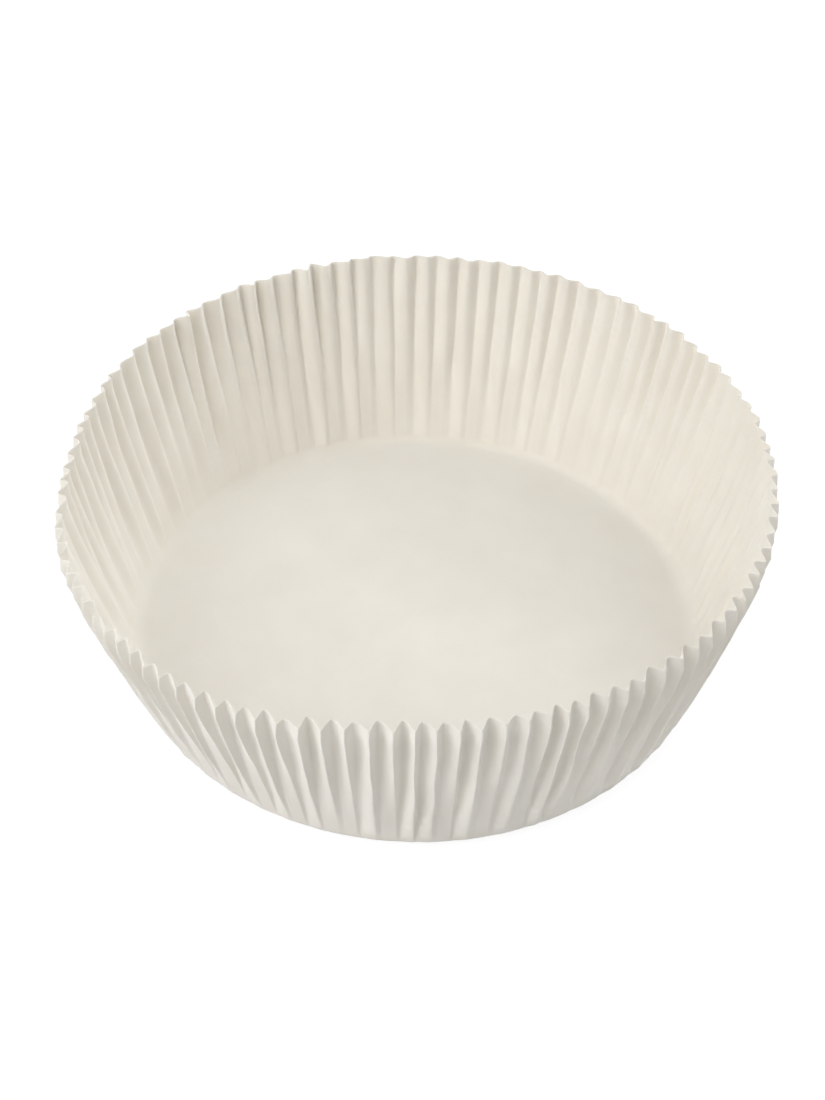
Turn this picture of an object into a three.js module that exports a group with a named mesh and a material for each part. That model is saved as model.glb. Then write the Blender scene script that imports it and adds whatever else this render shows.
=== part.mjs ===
// Pleated liner for a round cake tin: one disc of greaseproof paper pressed into a shallow cup.
// The floor stays flat, and the rest of the disc is gathered into pleats that rise to the rim.
// Millimetres, +Z up. The origin is the centre of the floor, on the surface the liner stands on.

import { Group, LatheGeometry, Mesh, MeshStandardMaterial, Vector2 } from "three";
import { mergeGeometries } from "three/addons/utils/BufferGeometryUtils.js";

// Driving dimensions
const RIM_DIAMETER = 200; // across the outer folds of the pleats at the rim
const FLOOR_DIAMETER = 162; // the flat floor, up to where it starts to turn up
const HEIGHT = 64; // from the surface it stands on to the cut edge
const FOOT_RADIUS = 8.5; // the turn from the floor into the wall
const PAPER_THICKNESS = 0.07;
const PLEAT_COUNT = 104;
const RIM_PLEAT_DEPTH = 3.4; // from the inner to the outer folds at the rim

// How finely the sheet is divided
const STEPS_PER_PLEAT = 4;
const FOOT_STEPS = 3;
const WALL_STEPS = 2;

const floorRadius = FLOOR_DIAMETER / 2;
const rimRadius = RIM_DIAMETER / 2;

// The wall is straight and leaves the foot's arc without a corner, so its slope follows from both.
const wallReach = new Vector2(rimRadius - floorRadius, HEIGHT - FOOT_RADIUS);
const wallAngle = wallReach.angle() + Math.asin(FOOT_RADIUS / wallReach.length());
const footLength = FOOT_RADIUS * wallAngle;
const footTop = footPoint(wallAngle);
const rimPoint = new Vector2(rimRadius, HEIGHT);
const wallLength = footTop.distanceTo(rimPoint);

// The point of the foot's arc where the sheet has turned up by `angle`.
function footPoint(angle) {
  const radius = floorRadius + FOOT_RADIUS * Math.sin(angle);
  return new Vector2(radius, FOOT_RADIUS * (1 - Math.cos(angle)));
}

// How much wider the flat disc is than the cup at a level: this is the paper that the pleats take up.
function surplus(flatRadius, radius) {
  return Math.sqrt(flatRadius ** 2 - radius ** 2);
}

const rimSurplus = surplus(floorRadius + footLength + wallLength, rimRadius);

// One level of the sheet: its place on the outer face, its slope, and its pleats.
function level(point, slope, flatRadius) {
  const pleatDepth = RIM_PLEAT_DEPTH * surplus(flatRadius, point.x) / rimSurplus;
  const gather = flatRadius / point.x;
  return { point, slope, pleatDepth, gather };
}

// The levels of the outer face, from the centre of the floor to the rim.
function outerLevels() {
  const levels = [{ point: new Vector2(0, 0), slope: 0, pleatDepth: 0, gather: 1 }];
  for (let step = 0; step <= FOOT_STEPS; step += 1) {
    const angle = wallAngle * step / FOOT_STEPS;
    levels.push(level(footPoint(angle), angle, floorRadius + FOOT_RADIUS * angle));
  }
  for (let step = 1; step <= WALL_STEPS; step += 1) {
    const share = step / WALL_STEPS;
    const point = footTop.clone().lerp(rimPoint, share);
    levels.push(level(point, wallAngle, floorRadius + footLength + wallLength * share));
  }
  return levels;
}

// The same level on the inner face. Gathered paper is thicker along the radius than across the sheet.
function innerLevel({ point, slope, pleatDepth, gather }) {
  const inward = new Vector2(-Math.sin(slope), Math.cos(slope)).multiplyScalar(PAPER_THICKNESS * gather);
  return { point: point.clone().add(inward), pleatDepth };
}

// The pleat wave round the liner, from 0 on an inner fold to 1 on an outer fold.
// Its flanks are nearly straight, the inner folds are sharp and the outer folds are blunter.
function pleatWave(turn) {
  const place = turn * PLEAT_COUNT;
  const flank = 2 * Math.abs(place - Math.floor(place) - 0.5);
  return (flank + Math.sin(flank * Math.PI / 2)) / 2;
}

// Turns a run of levels round the axis and draws the sheet in between the outer folds.
function pleatedFace(levels) {
  const segments = PLEAT_COUNT * STEPS_PER_PLEAT;
  const face = new LatheGeometry(levels.map(({ point }) => point), segments);
  face.rotateX(Math.PI / 2);
  const position = face.getAttribute("position");
  for (let index = 0; index < position.count; index += 1) {
    const { point, pleatDepth } = levels[index % levels.length];
    const turn = Math.floor(index / levels.length) % segments / segments;
    const drawnIn = pleatDepth * (1 - pleatWave(turn));
    const scale = drawnIn > 0 ? 1 - drawnIn / point.x : 1;
    position.setXY(index, position.getX(index) * scale, position.getY(index) * scale);
  }
  return face;
}

// Makes a face look the other way.
function turnedOver(face) {
  const corners = face.getIndex();
  for (let first = 0; first < corners.count; first += 3) {
    const second = corners.getX(first + 1);
    corners.setX(first + 1, corners.getX(first + 2));
    corners.setX(first + 2, second);
  }
  return face;
}

// The outer face, the inner face divided the same way, and the cut edge that joins them at the rim.
function pleatedSheet() {
  const outside = outerLevels();
  const inside = outside.map(innerLevel);
  const rim = [outside.at(-1), inside.at(-1)];
  return mergeGeometries([pleatedFace(outside), turnedOver(pleatedFace(inside)), pleatedFace(rim)]);
}

const paper = new MeshStandardMaterial({ color: 0xeee8da, roughness: 0.9, metalness: 0 });
const liner = new Mesh(pleatedSheet(), paper);
liner.name = "cake_tin_liner";

const cakeTinLiner = new Group();
cakeTinLiner.add(liner);

export default cakeTinLiner;
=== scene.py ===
"""Pleated paper liner for a round cake tin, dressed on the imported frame. Metres, +Z up."""

import math

import bpy
import numpy as np
from mathutils import Matrix, Vector


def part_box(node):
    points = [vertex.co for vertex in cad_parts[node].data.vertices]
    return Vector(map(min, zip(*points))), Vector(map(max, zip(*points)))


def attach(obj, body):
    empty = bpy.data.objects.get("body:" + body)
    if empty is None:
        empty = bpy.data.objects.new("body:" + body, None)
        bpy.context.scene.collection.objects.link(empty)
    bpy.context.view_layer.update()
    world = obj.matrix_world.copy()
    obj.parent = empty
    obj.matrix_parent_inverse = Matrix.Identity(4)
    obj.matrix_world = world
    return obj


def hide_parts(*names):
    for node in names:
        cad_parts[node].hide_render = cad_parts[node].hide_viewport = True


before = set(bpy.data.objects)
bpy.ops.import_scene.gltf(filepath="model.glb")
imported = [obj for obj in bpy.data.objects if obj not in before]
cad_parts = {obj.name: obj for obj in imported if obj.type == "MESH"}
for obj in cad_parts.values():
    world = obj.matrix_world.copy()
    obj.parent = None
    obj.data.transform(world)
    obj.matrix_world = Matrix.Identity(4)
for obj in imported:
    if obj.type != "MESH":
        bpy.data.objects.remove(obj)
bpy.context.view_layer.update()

NODE = "cake_tin_liner"
MM = 0.001
SEED = 20

# Sizes of the liner that the node's box doesn't give
FLOOR_RADIUS = 81 * MM
FOOT_RADIUS = 8.5 * MM  # at the front
BACK_FOOT_RADIUS = 3.5 * MM  # the foot is turned more tightly towards the back
PAPER_THICKNESS = 0.07 * MM
PLEAT_COUNT = 104
RIM_PLEAT_DEPTH = 3.4 * MM  # at the front
BACK_PLEAT_DEPTH = 2.9 * MM

# How finely the sheet is divided
COLUMNS_PER_FLANK = 7
FLOOR_ROWS = 4
FOOT_ROWS = 7
WALL_ROWS = 13
CAP_ROWS = 6

# Angles round the liner are clockwise from the back, seen from above. Levels on the wall are shares
# of its height, from 0 at the foot to 1 at the rim.

# Spacing and lean of the pleats
BACK_STRETCH = 0.105  # pleats are wider at the back by this share, and narrower in front
PITCH_SPREAD = 0.06  # of a pleat's width
LEAN_ANGLES = (-180, -150, -90, 0, 90, 150, 180)  # degrees
LEANS = (0.35, 0.62, 0.15, 0.25, -0.3, 0.05, 0.35)  # inner folds off the middle, in half widths
LEAN_SPREAD = 0.09
FOLD_WANDER = 0.09 * MM  # how far a fold strays sideways on its way up the wall
WANDER_WAVELENGTHS = (55 * MM, 25 * MM, 10 * MM)
WANDER_FULL_LEVEL = 0.3  # from this level on folds stray fully, and less below it

# Depth of the pleats
INNER_SPREAD = 0.14  # of a pleat's depth
OUTER_SPREAD = 0.07  # inwards only
DENTS = 0.07  # of a pleat's depth, near the foot
RIM_DENTS = 0.5  # of those near the foot
DENT_WAVELENGTHS = (40 * MM, 17 * MM)
INNER_RISE = 0.9 * MM  # inner folds are steeper than outer ones, so they end higher

# Roundness of the folds, as a share of a flank
OUTER_ROUND = 0.08
INNER_ROUND = 0.6
RIM_OUTER_ROUND = 0.5  # at the back, while the outer folds stay sharp in front
RIM_INNER_ROUND = 0.45
FOOT_ROUND = 0.9
FOOT_ROUND_TOP = 0.5  # the level at which the folds have lost the foot's roundness

# Towards the foot some pleats run out into a flank of their neighbour
NEXT_DEEP_PLEAT = (1, 2, 3)  # how many pleats on the next one lies that reaches the foot
NEXT_CHANCE = (0.1, 0.7, 0.2)
RUN_OUT = 0.85  # how nearly the others have gone at the foot
FOOT_DEPTH_GAIN = 0.45  # the inner folds lie deeper at the foot by this share of a pleat's depth
DEPTH_CHANGE = (-0.1, 0.95)  # the levels between which this gives way to the rim's depth
FOOT_LEAN = 0.4  # how far an inner fold moves at the foot towards the next outer fold
FOOT_LEAN_TOP = 0.9  # the level at which that has gone
BACK_FADE = 5 * MM  # the way past the floor's edge over which all pleats fade in at the back
FRONT_FADE = 24 * MM
FRONT_FADE_POWER = 3  # how closely the long fade keeps to the front

# The top of the wall, where the outer folds lean in
CAP_HEIGHT = 4.5 * MM
CAP_TUCK = 1.5 * MM  # in front
BACK_CAP_TUCK = 0.9 * MM
INNER_TUCK = 0.4  # the inner folds lean in by this share of it
EDGE_WAVE = 0.2 * MM  # how uneven the cut edge is
EDGE_WAVES = (7, 13, 29, 52)  # round the liner

# How the cup is out of shape
RIM_OFFSET = 1.1 * MM  # the rim lies this far to the right of the floor
RIM_SWAY = 0.25 * MM  # how uneven its outline is besides
RIM_SWAY_WAVES = (3, 5, 7, 9)
BULGE = 5.6 * MM  # of the rim
BULGE_ANGLE = math.radians(-133)
BULGE_HALF_WIDTH = math.radians(35)
BULGE_POWER = 4  # more than 2, so that the bulge has a flat top
WALL_BELLY = 0.8 * MM  # how far the wall stands out half way up
FLOOR_DOME = 1.4 * MM
FLOOR_UNEVENNESS = 0.25 * MM
FLOOR_WAVES = (1, 2, 3)
DEEP_PLEAT_ANGLE = math.radians(-21.5)
DEEP_PLEAT_HALF_WIDTH = 0.04  # radians
DEEP_PLEAT_GAIN = 0.5  # of a pleat's depth

# Paper. The patterns' scales are per metre.
LIGHT_REACH = 0.04 * MM  # how far light spreads in the paper, so that some shines through
THIN_TONE = (0.835, 0.805, 0.745, 1)
DENSE_TONE = (0.875, 0.85, 0.795, 1)
CLOUD_SCALE = 60
FIBRE_SCALE = 1400
FIBRE_SHARE = 0.35  # how much the fibres count in the tone, where the clouds count 1
TONE_RANGE = (0.35, 0.95)  # the pattern's values at which the two tones are reached
FIBRE_HEIGHT = 0.05 * MM
FIBRE_STRENGTH = 0.25
CREASE_HEIGHT = 0.4 * MM
CREASE_STRENGTH = 0.3

# Stage. The floor and the world are white as a background, and dimmer where they light the liner.
STAGE_HALF_WIDTH = 3.0
FLOOR_GREY = 0.8
SHADOW_GREY = 0.18  # the part of the white floor that takes the shadow
FLOOR_GLOW = 0.88  # the part that shines by itself
WORLD_LIGHT = 0.16

# Soft square lamps: name, azimuth, elevation and power
LAMP_DISTANCE = 1.3
LAMP_SIZE = 0.8
LAMPS = (
    ("back", 0, 20, 6.2),
    ("right", 75, 20, 5.5),
    ("left", 240, 20, 4.5),
    ("back_right_high", 45, 50, 4.8),
    ("front_right_high", 135, 50, 2.1),
    ("front_left_high", 225, 50, 7),
)

# The camera looks at a point over the floor's centre
CAMERA_DISTANCE = 550 * MM
CAMERA_ELEVATION = math.radians(43.95)
CAMERA_ROLL = math.radians(-0.92)
CAMERA_TARGET = Vector((-1.45 * MM, 0, 28.85 * MM))
FOCAL_PIXELS = 1861
IMAGE_HEIGHT_PIXELS = 1100
SENSOR_HEIGHT_MM = 36

FOLD_COUNT = 2 * PLEAT_COUNT
is_outer = np.arange(FOLD_COUNT) % 2 == 0  # even folds are outer ones, odd folds inner ones

rng = np.random.default_rng(SEED)
low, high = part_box(NODE)
rim_radius = (high[0] - low[0]) / 2
rim_height = high[2] - low[2]


def blend(start, end, share):
    return start + (end - start) * share


def smoothstep(value, start, end):
    share = np.clip((value - start) / (end - start), 0, 1)
    return share * share * (3 - 2 * share)


def smooth_noise(angle, waves, spread):
    """A seeded sum of waves round the liner, `spread` in size."""
    total = np.zeros_like(angle)
    for wave in waves:
        total += rng.normal() * np.cos(wave * angle + rng.uniform(0, 2 * math.pi))
    return total * spread / math.sqrt(len(waves) / 2)


def wander_along(wall, wavelengths, spread):
    """Seeded waves up the wall, one set for each fold."""
    rise = wall[:, None] * rim_height
    total = np.zeros((len(wall), FOLD_COUNT))
    for wavelength in wavelengths:
        strength = rng.normal(size=FOLD_COUNT) * math.sqrt(wavelength / wavelengths[0])
        start = rng.uniform(0, 2 * math.pi, FOLD_COUNT)
        total += strength * np.sin(2 * math.pi * rise / wavelength + start)
    return total * spread


# Rows of the sheet, from the floor to the rim

def row_shares():
    """How far up the foot, the wall and the cap each row lies."""
    cap_share = CAP_HEIGHT / rim_height
    foot_rows = np.arange(FOOT_ROWS) / FOOT_ROWS
    below_cap = np.linspace(0, 1 - cap_share, WALL_ROWS, endpoint=False)
    in_cap = np.linspace(1 - cap_share, 1, CAP_ROWS + 1)
    foot = np.concatenate([np.zeros(FLOOR_ROWS), foot_rows, np.ones(WALL_ROWS + CAP_ROWS + 1)])
    wall = np.concatenate([np.zeros(FLOOR_ROWS + FOOT_ROWS), below_cap, in_cap])
    return foot, wall, np.clip((wall - 1 + cap_share) / cap_share, 0, 1)


def outline(foot_radius, foot, wall):
    """Radius, height and flat radius of each row, for a foot of this radius."""
    reach = math.hypot(rim_radius - FLOOR_RADIUS, rim_height - foot_radius)
    wall_angle = math.atan2(rim_height - foot_radius, rim_radius - FLOOR_RADIUS)
    wall_angle += math.asin(foot_radius / reach)
    turn = wall_angle * foot
    radius = FLOOR_RADIUS + foot_radius * np.sin(turn)
    height = foot_radius * (1 - np.cos(turn))
    flat = FLOOR_RADIUS + foot_radius * turn
    wall_length = math.hypot(rim_radius - radius[-1], rim_height - height[-1])
    flat += wall_length * wall
    radius += (rim_radius - radius[-1]) * wall
    height += (rim_height - height[-1]) * wall
    radius[:FLOOR_ROWS] *= np.arange(1, FLOOR_ROWS + 1) / (FLOOR_ROWS + 1)
    flat[:FLOOR_ROWS] = radius[:FLOOR_ROWS]
    return np.stack([radius, height, flat])


# Folds of the pleats

def fold_angles():
    """The angle of each fold at the rim."""
    width = np.repeat(1 + PITCH_SPREAD * rng.normal(size=PLEAT_COUNT), 2)
    rough_place = 2 * math.pi * np.arange(PLEAT_COUNT) / PLEAT_COUNT - math.pi
    usual_lean = np.interp(rough_place, np.radians(LEAN_ANGLES), LEANS)
    lean = LEAN_SPREAD * rng.normal(size=PLEAT_COUNT) + usual_lean
    width[0::2] *= 1 + lean
    width[1::2] *= 1 - lean
    end = np.cumsum(width)
    place = 2 * math.pi * (end - width) / end[-1] - math.pi
    return place + BACK_STRETCH * np.sin(place)


def deep_pleats():
    """Which folds belong to a pleat that reaches the foot."""
    reaches = np.zeros(PLEAT_COUNT, bool)
    pleat = 0
    while pleat < PLEAT_COUNT:
        reaches[pleat] = True
        pleat += rng.choice(NEXT_DEEP_PLEAT, p=NEXT_CHANCE)
    return np.repeat(reaches, 2)


def fold_levels(angles, wall, deep):
    """How far out each fold lies at each row: 1 on the outline, 0 a full pleat depth inside it."""
    spread = rng.normal(size=FOLD_COUNT)
    at_rim = np.where(is_outer, 1 - OUTER_SPREAD * np.abs(spread), INNER_SPREAD * spread)
    after_deep_pleat = 2 * np.argmin(np.abs(angles[is_outer] - DEEP_PLEAT_ANGLE))
    at_rim[after_deep_pleat - 1] = -DEEP_PLEAT_GAIN
    at_foot = at_rim - FOOT_DEPTH_GAIN * ~is_outer
    flank_line = np.interp(angles, angles[deep], at_foot[deep], period=2 * math.pi)
    at_foot = np.where(deep, at_foot, blend(at_foot, flank_line, RUN_OUT))
    climb = smoothstep(wall, *DEPTH_CHANGE)[:, None]
    dents = wander_along(wall, DENT_WAVELENGTHS, DENTS) * blend(1, RIM_DENTS, climb)
    return blend(at_foot, at_rim, climb) + dents


def folds(wall):
    """The angle of each fold at each row, and how far out it lies."""
    at_rim = fold_angles()
    deep = deep_pleats()
    low_down = (1 - smoothstep(wall, 0, FOOT_LEAN_TOP))[:, None]
    gap = np.diff(at_rim, append=at_rim[0] + 2 * math.pi)
    shift = FOOT_LEAN * gap * low_down * (deep & ~is_outer)
    stray = wander_along(wall, WANDER_WAVELENGTHS, FOLD_WANDER / rim_radius)
    angle = at_rim + shift + stray * smoothstep(wall, 0, WANDER_FULL_LEVEL)[:, None]
    return angle, fold_levels(at_rim, wall, deep)


# The sheet

def roundness(theta, wall, cap):
    """How much of a flank the turns at its outer and its inner fold take up."""
    near_foot = (1 - smoothstep(wall, 0, FOOT_ROUND_TOP))[:, None]
    backness = 0.5 + 0.5 * np.cos(theta)
    outer_cap = (RIM_OUTER_ROUND - OUTER_ROUND) * cap[:, None] * backness
    inner_cap = (RIM_INNER_ROUND - INNER_ROUND) * cap[:, None]
    outer_round = blend(OUTER_ROUND, FOOT_ROUND, near_foot) + outer_cap
    inner_round = blend(INNER_ROUND, FOOT_ROUND, near_foot) + inner_cap
    return outer_round, inner_round


def flank(share, outer_round, inner_round):
    """From 0 on an outer fold to 1 on an inner fold: straight, with a round turn at either end."""
    slope = 1 / (1 - outer_round / 2 - inner_round / 2)
    outer_turn = np.maximum(outer_round - share, 0) ** 2 / (2 * outer_round)
    inner_turn = np.maximum(share - 1 + inner_round, 0) ** 2 / (2 * inner_round)
    return slope * (share - outer_round / 2 + outer_turn - inner_turn)


def pleat_wave(wall, cap):
    """The angle of each column at each row, and how far out it lies, as in fold_levels."""
    angle, level = folds(wall)
    half_turn = math.pi * np.arange(COLUMNS_PER_FLANK) / COLUMNS_PER_FLANK
    share = np.tile(0.5 - 0.5 * np.cos(half_turn), FOLD_COUNT)
    first = np.repeat(np.arange(FOLD_COUNT), COLUMNS_PER_FLANK)
    second = (first + 1) % FOLD_COUNT
    next_angle = angle[:, second] + 2 * math.pi * (second < first)
    theta = blend(angle[:, first], next_angle, share)

    outward = ~is_outer[first]
    way = flank(np.where(outward, 1 - share, share), *roundness(theta, wall, cap))
    outer_level = np.where(outward, level[:, second], level[:, first])
    inner_level = np.where(outward, level[:, first], level[:, second])
    return theta, blend(outer_level, inner_level, way)


def pleat_depth(radius, flat, frontness):
    """At each level the pleats take up the paper that a flat disc has too much there."""
    surplus = np.sqrt(np.clip(flat ** 2 - radius ** 2, 0, None))
    fade_length = blend(BACK_FADE, FRONT_FADE, frontness ** FRONT_FADE_POWER)
    fade = smoothstep(flat - FLOOR_RADIUS, 0, fade_length)
    rim_depth = blend(BACK_PLEAT_DEPTH, RIM_PLEAT_DEPTH, frontness)
    return rim_depth * fade * surplus / surplus[-1]


def cap_tuck(around, frontness, wave, up, cap):
    """How far the cap leans in. The wall leans out as far, so the outer folds end on the rim."""
    most_tuck = blend(BACK_CAP_TUCK, CAP_TUCK, frontness)
    off_deep_pleat = (around - DEEP_PLEAT_ANGLE) / DEEP_PLEAT_HALF_WIDTH
    held_upright = 1 - np.exp(-off_deep_pleat ** 2)
    return most_tuck * (blend(INNER_TUCK, 1, wave) * held_upright * cap[:, None] - up)


def out_of_shape(around):
    """How far the rim is pushed out of round at each angle."""
    off_bulge = np.remainder(around - BULGE_ANGLE + math.pi, 2 * math.pi) - math.pi
    bulge = BULGE * np.exp(-(off_bulge / BULGE_HALF_WIDTH) ** BULGE_POWER)
    sway = smooth_noise(around, RIM_SWAY_WAVES, RIM_SWAY)
    return bulge + RIM_OFFSET * np.sin(around) + sway


def pleated_points():
    """The outer face of the sheet as rows of points, from the floor's innermost ring to the rim."""
    foot, wall, cap = row_shares()
    theta, wave = pleat_wave(wall, cap)
    around = theta[-1]
    up = wall[:, None]
    frontness = 0.5 - 0.5 * np.cos(around)
    at_back = outline(BACK_FOOT_RADIUS, foot, wall)[:, :, None]
    at_front = outline(FOOT_RADIUS, foot, wall)[:, :, None]
    radius, height, flat = blend(at_back, at_front, frontness)

    drawn_in = pleat_depth(radius, flat, frontness) * (1 - wave)
    tuck = cap_tuck(around, frontness, wave, up, cap)
    middle_of_wall = 4 * up * (1 - up)
    push = out_of_shape(around) * up + WALL_BELLY * middle_of_wall
    r = radius - drawn_in - tuck + push

    sinking = (rim_radius - FLOOR_RADIUS) / rim_height * push
    edge = smooth_noise(around, EDGE_WAVES, EDGE_WAVE) * up ** 2
    inner_rise = INNER_RISE * np.minimum(1 - wave, 1) * up
    middle_of_floor = np.clip(1 - (radius / FLOOR_RADIUS) ** 2, 0, 1)
    uneven = smooth_noise(around, FLOOR_WAVES, FLOOR_UNEVENNESS) * radius / FLOOR_RADIUS
    z = height + middle_of_floor * (FLOOR_DOME + uneven) + edge - sinking + inner_rise
    return np.stack([r * np.sin(theta), r * np.cos(theta), z], axis=-1)


def sheet_normals(points):
    """A unit normal at each point, away from the inside of the cup."""
    across = np.roll(points, -1, axis=1) - np.roll(points, 1, axis=1)
    along = np.gradient(points, axis=0)
    normal = np.cross(along, across)
    return normal / np.linalg.norm(normal, axis=-1, keepdims=True)


def face_of_sheet(rows, columns, first):
    """Quads between neighbouring rings, and the fan from the innermost ring to the centre."""
    row, column = np.meshgrid(np.arange(rows - 1), np.arange(columns), indexing="ij")
    after = (column + 1) % columns
    corners = [row * columns + column, (row + 1) * columns + column]
    corners += [(row + 1) * columns + after, row * columns + after]
    quads = np.stack(corners, axis=-1).reshape(-1, 4) + first
    centre = first + rows * columns
    fan = [(centre, first + edge, first + (edge + 1) % columns) for edge in range(columns)]
    return quads.tolist() + fan


def add_mesh(name, vertices, faces, material):
    mesh = bpy.data.meshes.new(name)
    mesh.from_pydata(vertices, [], faces)
    mesh.materials.append(material)
    thing = bpy.data.objects.new(name, mesh)
    bpy.context.scene.collection.objects.link(thing)
    return thing


def build_liner(material):
    outside = pleated_points()
    rows, columns, _ = outside.shape
    inside = outside - PAPER_THICKNESS * sheet_normals(outside)
    centre = np.array([[0, 0, outside[0, :, 2].mean()]])
    inside_centre = centre + (0, 0, PAPER_THICKNESS)
    vertices = np.concatenate(
        [outside.reshape(-1, 3), centre, inside.reshape(-1, 3), inside_centre])

    count = rows * columns + 1
    inner_faces = [face[::-1] for face in face_of_sheet(rows, columns, count)]
    edge = np.arange((rows - 1) * columns, rows * columns)
    after = np.roll(edge, -1)
    rim_faces = np.stack([edge, edge + count, after + count, after], axis=-1)
    faces = face_of_sheet(rows, columns, 0) + inner_faces + rim_faces.tolist()
    liner = add_mesh("liner_sheet", vertices.tolist(), faces, material)
    liner.data.shade_smooth()
    return liner


# Materials

def noise_pattern(nodes, links, scale, detail, distortion):
    place = nodes.new("ShaderNodeTexCoord")
    noise = nodes.new("ShaderNodeTexNoise")
    noise.inputs["Scale"].default_value = scale
    noise.inputs["Detail"].default_value = detail
    noise.inputs["Distortion"].default_value = distortion
    links.new(place.outputs["Object"], noise.inputs["Vector"])
    return noise.outputs["Fac"]


def add_bump(nodes, links, pattern, strength, height):
    bump = nodes.new("ShaderNodeBump")
    bump.inputs["Strength"].default_value = strength
    bump.inputs["Distance"].default_value = height
    links.new(pattern, bump.inputs["Height"])
    return bump


def paper_tone(nodes, links, cloud, fibre):
    """The paper's colour, between a thin and a dense tone."""
    both = nodes.new("ShaderNodeMath")
    both.operation = "MULTIPLY_ADD"
    both.inputs[1].default_value = FIBRE_SHARE
    links.new(fibre, both.inputs[0])
    links.new(cloud, both.inputs[2])
    tone = nodes.new("ShaderNodeValToRGB")
    thin, dense = tone.color_ramp.elements
    thin.position, dense.position = TONE_RANGE
    thin.color = THIN_TONE
    dense.color = DENSE_TONE
    links.new(both.outputs["Value"], tone.inputs["Fac"])
    return tone.outputs["Color"]


def paper_material():
    material = bpy.data.materials.new("greaseproof_paper")
    material.use_nodes = True
    nodes, links = material.node_tree.nodes, material.node_tree.links
    shader = nodes["Principled BSDF"]
    shader.inputs["Roughness"].default_value = 0.78
    shader.inputs["Specular IOR Level"].default_value = 0.3
    shader.inputs["Subsurface Weight"].default_value = 1
    shader.inputs["Subsurface Scale"].default_value = LIGHT_REACH
    shader.inputs["Subsurface Radius"].default_value = (1, 1, 1)

    cloud = noise_pattern(nodes, links, CLOUD_SCALE, detail=3, distortion=0)
    fibre = noise_pattern(nodes, links, FIBRE_SCALE, detail=2, distortion=1.2)
    links.new(paper_tone(nodes, links, cloud, fibre), shader.inputs["Base Color"])
    grain = add_bump(nodes, links, fibre, FIBRE_STRENGTH, FIBRE_HEIGHT)
    crease = add_bump(nodes, links, cloud, CREASE_STRENGTH, CREASE_HEIGHT)
    links.new(grain.outputs["Normal"], crease.inputs["Normal"])
    links.new(crease.outputs["Normal"], shader.inputs["Normal"])
    return material


def either(nodes, links, first, second):
    """1 where one of two yes-or-no values is 1."""
    larger = nodes.new("ShaderNodeMath")
    larger.operation = "MAXIMUM"
    links.new(first, larger.inputs[0])
    links.new(second, larger.inputs[1])
    return larger.outputs["Value"]


def shows_background(nodes, links):
    """1 for the camera's rays, and for those that a surface mirrors or lets through."""
    path = nodes.new("ShaderNodeLightPath").outputs
    indirect = either(nodes, links, path["Is Glossy Ray"], path["Is Transmission Ray"])
    return either(nodes, links, path["Is Camera Ray"], indirect)


def grey_surface(nodes, grey):
    surface = nodes.new("ShaderNodeBsdfDiffuse")
    surface.inputs["Color"].default_value = (grey, grey, grey, 1)
    return surface.outputs["BSDF"]


def floor_material():
    """White, with the object's shadow: as background, part of it shines by itself."""
    material = bpy.data.materials.new("white_floor")
    material.use_nodes = True
    nodes, links = material.node_tree.nodes, material.node_tree.links
    nodes.clear()
    output = nodes.new("ShaderNodeOutputMaterial")
    glow = nodes.new("ShaderNodeEmission")
    glow.inputs["Strength"].default_value = FLOOR_GLOW
    background = nodes.new("ShaderNodeAddShader")
    links.new(grey_surface(nodes, SHADOW_GREY), background.inputs[0])
    links.new(glow.outputs["Emission"], background.inputs[1])
    mix = nodes.new("ShaderNodeMixShader")
    links.new(shows_background(nodes, links), mix.inputs["Fac"])
    links.new(grey_surface(nodes, FLOOR_GREY), mix.inputs[1])
    links.new(background.outputs["Shader"], mix.inputs[2])
    links.new(mix.outputs["Shader"], output.inputs["Surface"])
    return material


# Stage, light and camera

def build_floor():
    half = STAGE_HALF_WIDTH
    corners = [(-half, -half, 0), (half, -half, 0), (half, half, 0), (-half, half, 0)]
    floor = add_mesh("floor", corners, [(0, 1, 2, 3)], floor_material())


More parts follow.
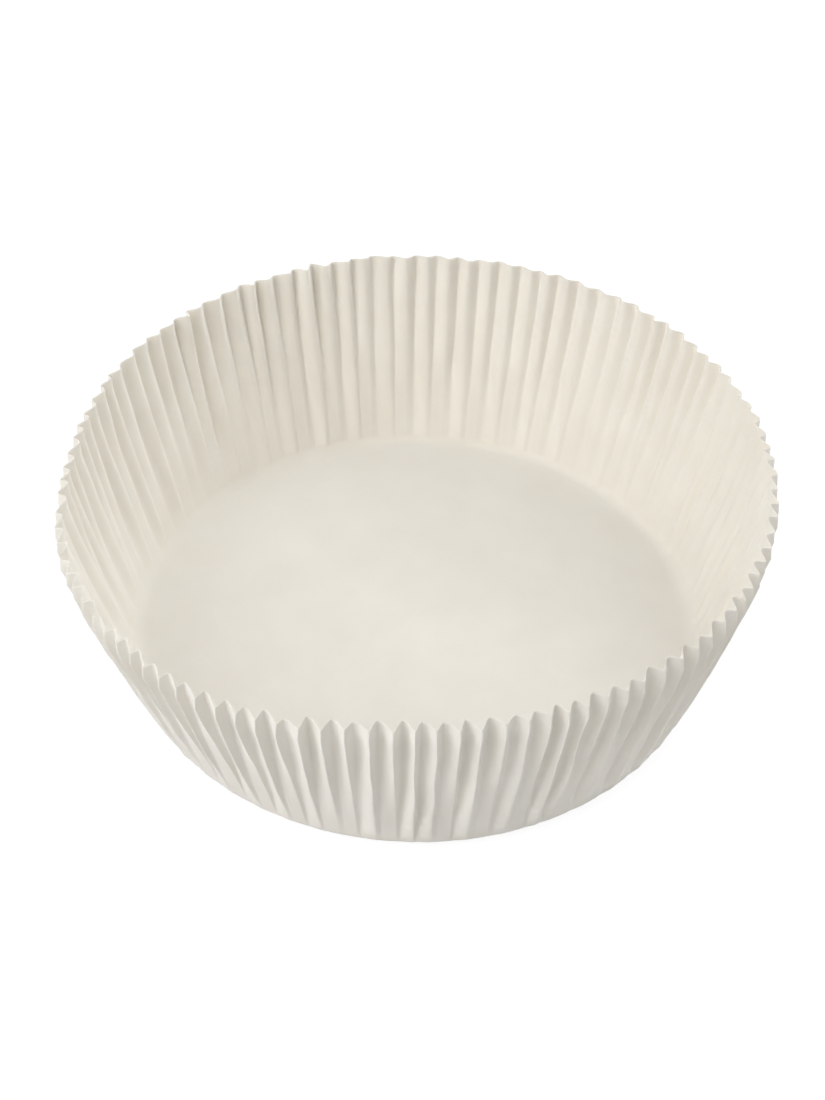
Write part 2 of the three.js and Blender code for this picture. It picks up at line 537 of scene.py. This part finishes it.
def set_world():
    world = bpy.data.worlds.new("soft_white")
    world.use_nodes = True
    nodes, links = world.node_tree.nodes, world.node_tree.links
    background = nodes["Background"]
    background.inputs["Color"].default_value = (1, 1, 1, 1)
    level = nodes.new("ShaderNodeMapRange")
    level.inputs["To Min"].default_value = WORLD_LIGHT
    level.inputs["To Max"].default_value = 1
    links.new(shows_background(nodes, links), level.inputs["Value"])
    links.new(level.outputs["Result"], background.inputs["Strength"])
    bpy.context.scene.world = world


def add_lamp(name, azimuth, elevation, power):
    """Degrees and watts. The azimuth is clockwise from the back, as angles round the liner are."""
    around, up = math.radians(azimuth), math.radians(elevation)
    way = Vector((math.cos(up) * math.sin(around), math.cos(up) * math.cos(around), math.sin(up)))
    data = bpy.data.lights.new(name, "AREA")
    data.shape = "SQUARE"
    data.size = LAMP_SIZE
    data.energy = power
    lamp = bpy.data.objects.new(name, data)
    lamp.location = way * LAMP_DISTANCE
    lamp.rotation_euler = (-way).to_track_quat("-Z", "Y").to_euler()
    bpy.context.scene.collection.objects.link(lamp)


def add_camera():
    away = Vector((0, -math.cos(CAMERA_ELEVATION), math.sin(CAMERA_ELEVATION)))
    level_up = Vector((0, math.sin(CAMERA_ELEVATION), math.cos(CAMERA_ELEVATION)))
    level_right = Vector((1, 0, 0))
    right = level_right * math.cos(CAMERA_ROLL) - level_up * math.sin(CAMERA_ROLL)
    up = level_right * math.sin(CAMERA_ROLL) + level_up * math.cos(CAMERA_ROLL)
    turned = Matrix((right, up, away)).transposed().to_4x4()
    data = bpy.data.cameras.new("camera")
    data.sensor_fit = "VERTICAL"
    data.sensor_height = SENSOR_HEIGHT_MM
    data.lens = FOCAL_PIXELS / IMAGE_HEIGHT_PIXELS * SENSOR_HEIGHT_MM
    camera = bpy.data.objects.new("camera", data)
    camera.matrix_world = Matrix.Translation(CAMERA_TARGET + away * CAMERA_DISTANCE) @ turned
    bpy.context.scene.collection.objects.link(camera)
    bpy.context.scene.camera = camera


add_camera()
liner = build_liner(paper_material())
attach(liner, "root")
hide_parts(NODE)

build_floor()
set_world()
for lamp in LAMPS:
    add_lamp(*lamp)
bpy.context.scene.view_settings.view_transform = "Standard"
